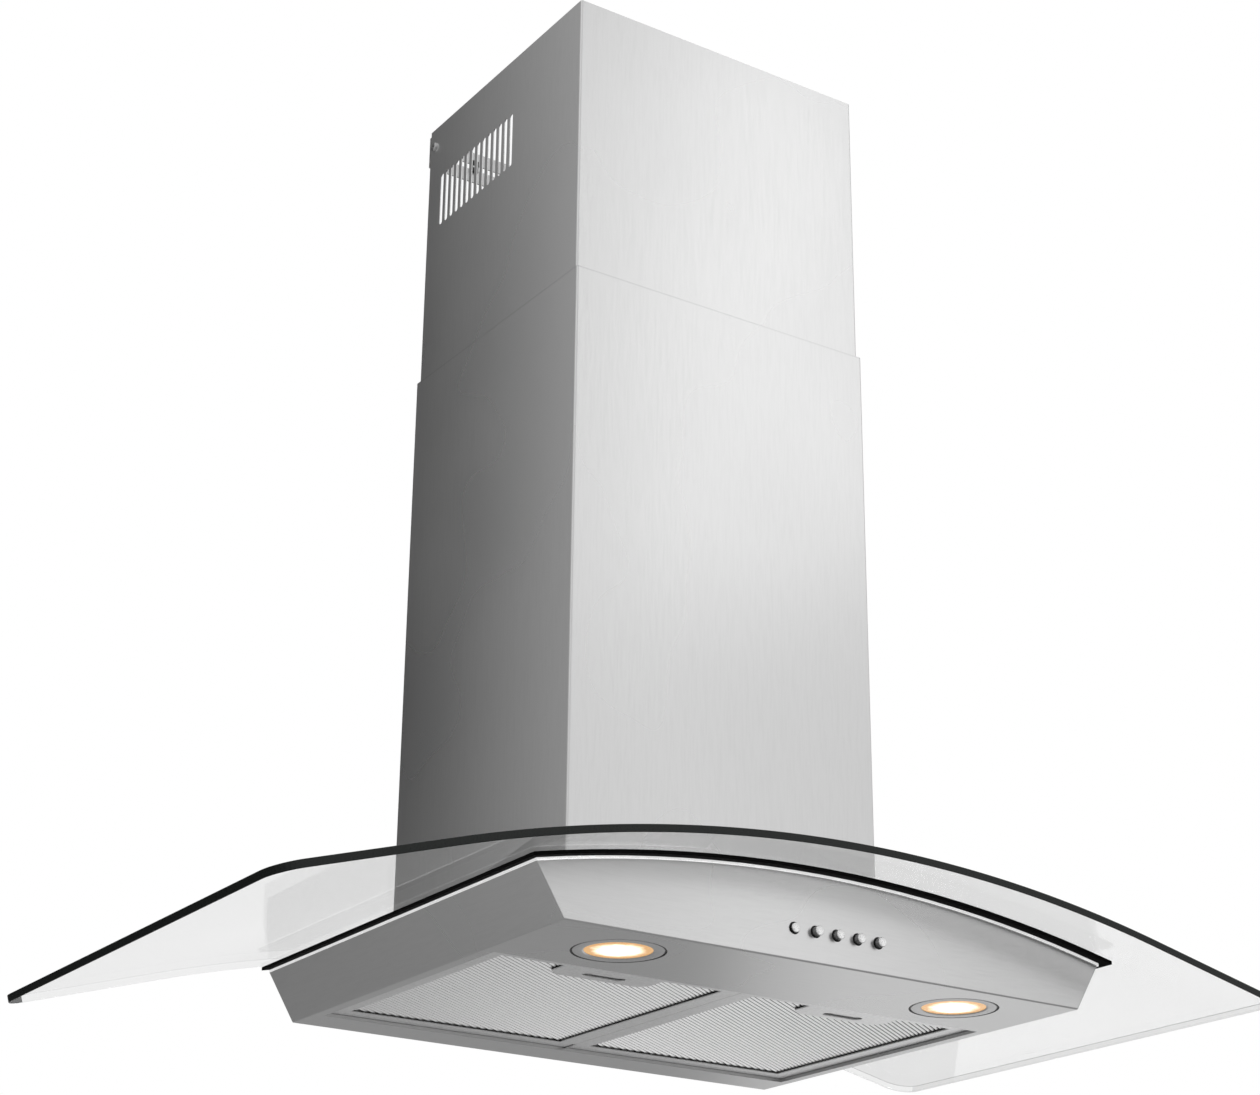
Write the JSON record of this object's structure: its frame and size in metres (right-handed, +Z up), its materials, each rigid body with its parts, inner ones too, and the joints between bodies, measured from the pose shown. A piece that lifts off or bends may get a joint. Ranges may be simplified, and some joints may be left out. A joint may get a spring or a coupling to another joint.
{
  "type": "wall chimney range hood",
  "caption": "Wall-mounted stainless chimney range hood with an arched glass canopy, mesh grease filters, round lamps and push buttons on a slim body.",
  "frame": {"origin": "centre of the four wall holes in the back of the blower box, on the wall plane", "axes": "+X right as seen from the front, +Y into the wall, +Z up"},
  "size_m": [0.9044, 0.48, 0.9063],
  "materials": {
    "brushed_steel": "vertical fine brushed",
    "polished_edge": "polished",
    "canopy_glass": "clear, ground dark edge",
    "seal_rubber": "matt",
    "zinc_steel": "zinc coated",
    "filter_aluminium": "anodised",
    "filter_mesh": "expanded mesh",
    "bezel_steel": "satin",
    "lamp_glass": "frosted, lit",
    "button_metal": "satin turned",
    "black_plastic": "matt",
    "grey_plastic": "matt",
    "white_plastic": "matt",
    "screw_steel": "plated",
    "motor_steel": "enamel",
    "shaft_steel": "ground",
    "lamp_can": "spun",
    "ceramic": "ceramic"
  },
  "bodies": {
    "hood": {"hood_body": "brushed_steel", "back_panel": "zinc_steel", "lip_plate": "polished_edge", "canopy_seal": "seal_rubber", "glass_canopy": "canopy_glass", "canopy_pads": "seal_rubber", "canopy_washers": "white_plastic", "canopy_screws": "screw_steel", "canopy_nuts": "screw_steel", "lower_chimney": "brushed_steel", "glide_strips": "black_plastic", "wall_plate": "zinc_steel", "blower_box": "zinc_steel", "blower_cover": "zinc_steel", "cover_screws": "screw_steel", "chimney_screws": "screw_steel", "cord_gland": "black_plastic", "capacitor": "white_plastic", "scroll_left": "grey_plastic", "scroll_right": "grey_plastic", "motor": "motor_steel", "motor_bracket": "zinc_steel", "outlet_collar": "black_plastic", "damper_pin": "shaft_steel", "button_guide": "black_plastic", "switch_block": "black_plastic", "terminal_box": "white_plastic", "terminal_lid": "white_plastic", "lamp_left_bezel": "bezel_steel", "lamp_left_lens": "lamp_glass", "lamp_left_can": "lamp_can", "lamp_left_bulb": "lamp_glass", "lamp_left_socket": "ceramic", "lamp_right_bezel": "bezel_steel", "lamp_right_lens": "lamp_glass", "lamp_right_can": "lamp_can", "lamp_right_bulb": "lamp_glass", "lamp_right_socket": "ceramic"},
    "upper_chimney": {"upper_chimney": "brushed_steel", "upper_bracket": "zinc_steel", "bracket_spacers": "black_plastic", "side_screws": "screw_steel"},
    "impeller": {"impeller": "grey_plastic", "motor_shaft": "shaft_steel"},
    "damper_front": {"damper_front": "black_plastic"},
    "damper_back": {"damper_back": "black_plastic"},
    "filter_left": {"filter_left_frame": "filter_aluminium", "filter_left_mesh": "filter_mesh", "filter_left_pins": "shaft_steel"},
    "latch_left": {"filter_left_latch": "filter_aluminium"},
    "filter_right": {"filter_right_frame": "filter_aluminium", "filter_right_mesh": "filter_mesh", "filter_right_pins": "shaft_steel"},
    "latch_right": {"filter_right_latch": "filter_aluminium"},
    "button_1": {"button_1": "button_metal"},
    "button_2": {"button_2": "button_metal"},
    "button_3": {"button_3": "button_metal"},
    "button_4": {"button_4": "button_metal"},
    "button_5": {"button_5": "button_metal"}
  },
  "joints": [
    {"name": "chimney_slide", "type": "slide", "parent": "hood", "child": "upper_chimney", "axis": [0, 0, 1], "range_m": [-0.23, 0.178]},
    {"name": "impeller_spin", "type": "hinge", "parent": "hood", "child": "impeller", "pos_m": [0, -0.11, -0.01], "axis": [1, 0, 0], "continuous": true},
    {"name": "damper_front_swing", "type": "hinge", "parent": "hood", "child": "damper_front", "pos_m": [0, -0.14, 0.152], "axis": [-1, 0, 0], "range_deg": [0, 75]},
    {"name": "damper_back_swing", "type": "hinge", "parent": "hood", "child": "damper_back", "pos_m": [0, -0.14, 0.152], "axis": [1, 0, 0], "range_deg": [0, 75]},
    {"name": "filter_left_tilt", "type": "hinge", "parent": "hood", "child": "filter_left", "pos_m": [0, -0.044, -0.195], "axis": [1, 0, 0], "range_deg": [0, 80]},
    {"name": "latch_left_slide", "type": "slide", "parent": "filter_left", "child": "latch_left", "axis": [0, 1, 0], "range_m": [0, 0.004], "stiffness_N_per_m": 300, "springref_m": -0.004},
    {"name": "filter_right_tilt", "type": "hinge", "parent": "hood", "child": "filter_right", "pos_m": [0, -0.044, -0.195], "axis": [1, 0, 0], "range_deg": [0, 80]},
    {"name": "latch_right_slide", "type": "slide", "parent": "filter_right", "child": "latch_right", "axis": [0, 1, 0], "range_m": [0, 0.004], "stiffness_N_per_m": 300, "springref_m": -0.004},
    {"name": "button_1_press", "type": "slide", "parent": "hood", "child": "button_1", "axis": [0, 1, 0], "range_m": [-0.0031, 0.0004]},
    {"name": "button_2_press", "type": "slide", "parent": "hood", "child": "button_2", "axis": [0, 1, 0], "range_m": [0, 0.0035], "stiffness_N_per_m": 250, "springref_m": -0.004},
    {"name": "button_3_press", "type": "slide", "parent": "hood", "child": "button_3", "axis": [0, 1, 0], "range_m": [0, 0.0035], "stiffness_N_per_m": 250, "springref_m": -0.004},
    {"name": "button_4_press", "type": "slide", "parent": "hood", "child": "button_4", "axis": [0, 1, 0], "range_m": [0, 0.0035], "stiffness_N_per_m": 250, "springref_m": -0.004},
    {"name": "button_5_press", "type": "slide", "parent": "hood", "child": "button_5", "axis": [0, 1, 0], "range_m": [0, 0.0035], "stiffness_N_per_m": 250, "springref_m": -0.004}
  ]
}
